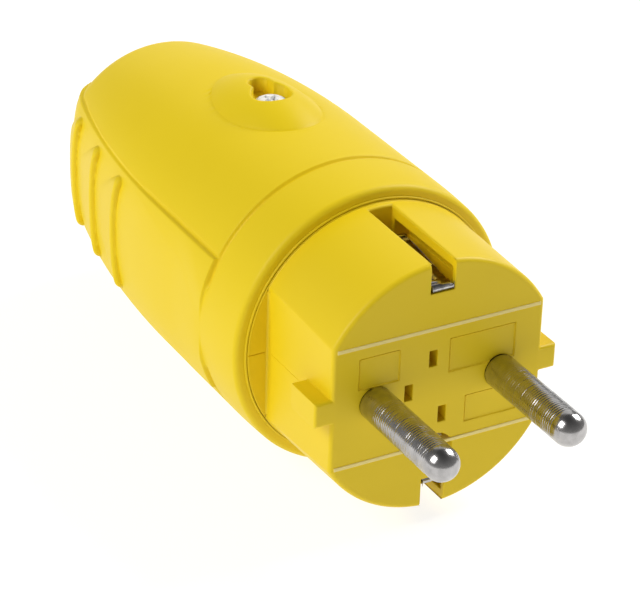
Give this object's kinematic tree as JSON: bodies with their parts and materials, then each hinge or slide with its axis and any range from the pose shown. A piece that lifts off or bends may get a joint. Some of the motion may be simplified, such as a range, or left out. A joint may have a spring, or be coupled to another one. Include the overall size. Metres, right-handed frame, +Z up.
{
  "type": "earthed mains plug",
  "caption": "Round earthed mains plug with turned metal pins, spring earth contacts above and below, and a yellow rubber hood with finger ridges and one screw.",
  "frame": {"origin": "middle of the plug's face, halfway between the two pins", "axes": "pins point along -Y, the hood runs back along +Y, +Z is up with the earth contacts above and below, +X is to the right seen from the front"},
  "size_m": [0.042, 0.1079, 0.044],
  "materials": {
    "hood_rubber": "soft satin yellow rubber",
    "insert_plastic": "smooth yellow moulding",
    "base_plastic": "matt pale grey moulding",
    "nickel": "turned and nickel plated",
    "brass": "machined",
    "zinc": "bright zinc plated"
  },
  "bodies": {
    "root": {"rubber_hood": "hood_rubber", "contact_carrier": "insert_plastic", "terminal_base": "base_plastic", "pin_left": "nickel", "pin_right": "nickel", "earth_bow": "nickel", "terminal_left": "brass", "terminal_right": "brass", "earth_terminal": "brass", "wire_guard_left": "zinc", "wire_guard_right": "zinc", "wire_guard_earth": "zinc", "terminal_screw_left": "zinc", "terminal_screw_right": "zinc", "earth_screw": "zinc", "face_screw": "zinc", "flex_clamp": "base_plastic", "clamp_screw_left": "zinc", "clamp_screw_right": "zinc", "hood_screw": "zinc", "hood_nut": "zinc"}
  },
  "joints": []
}
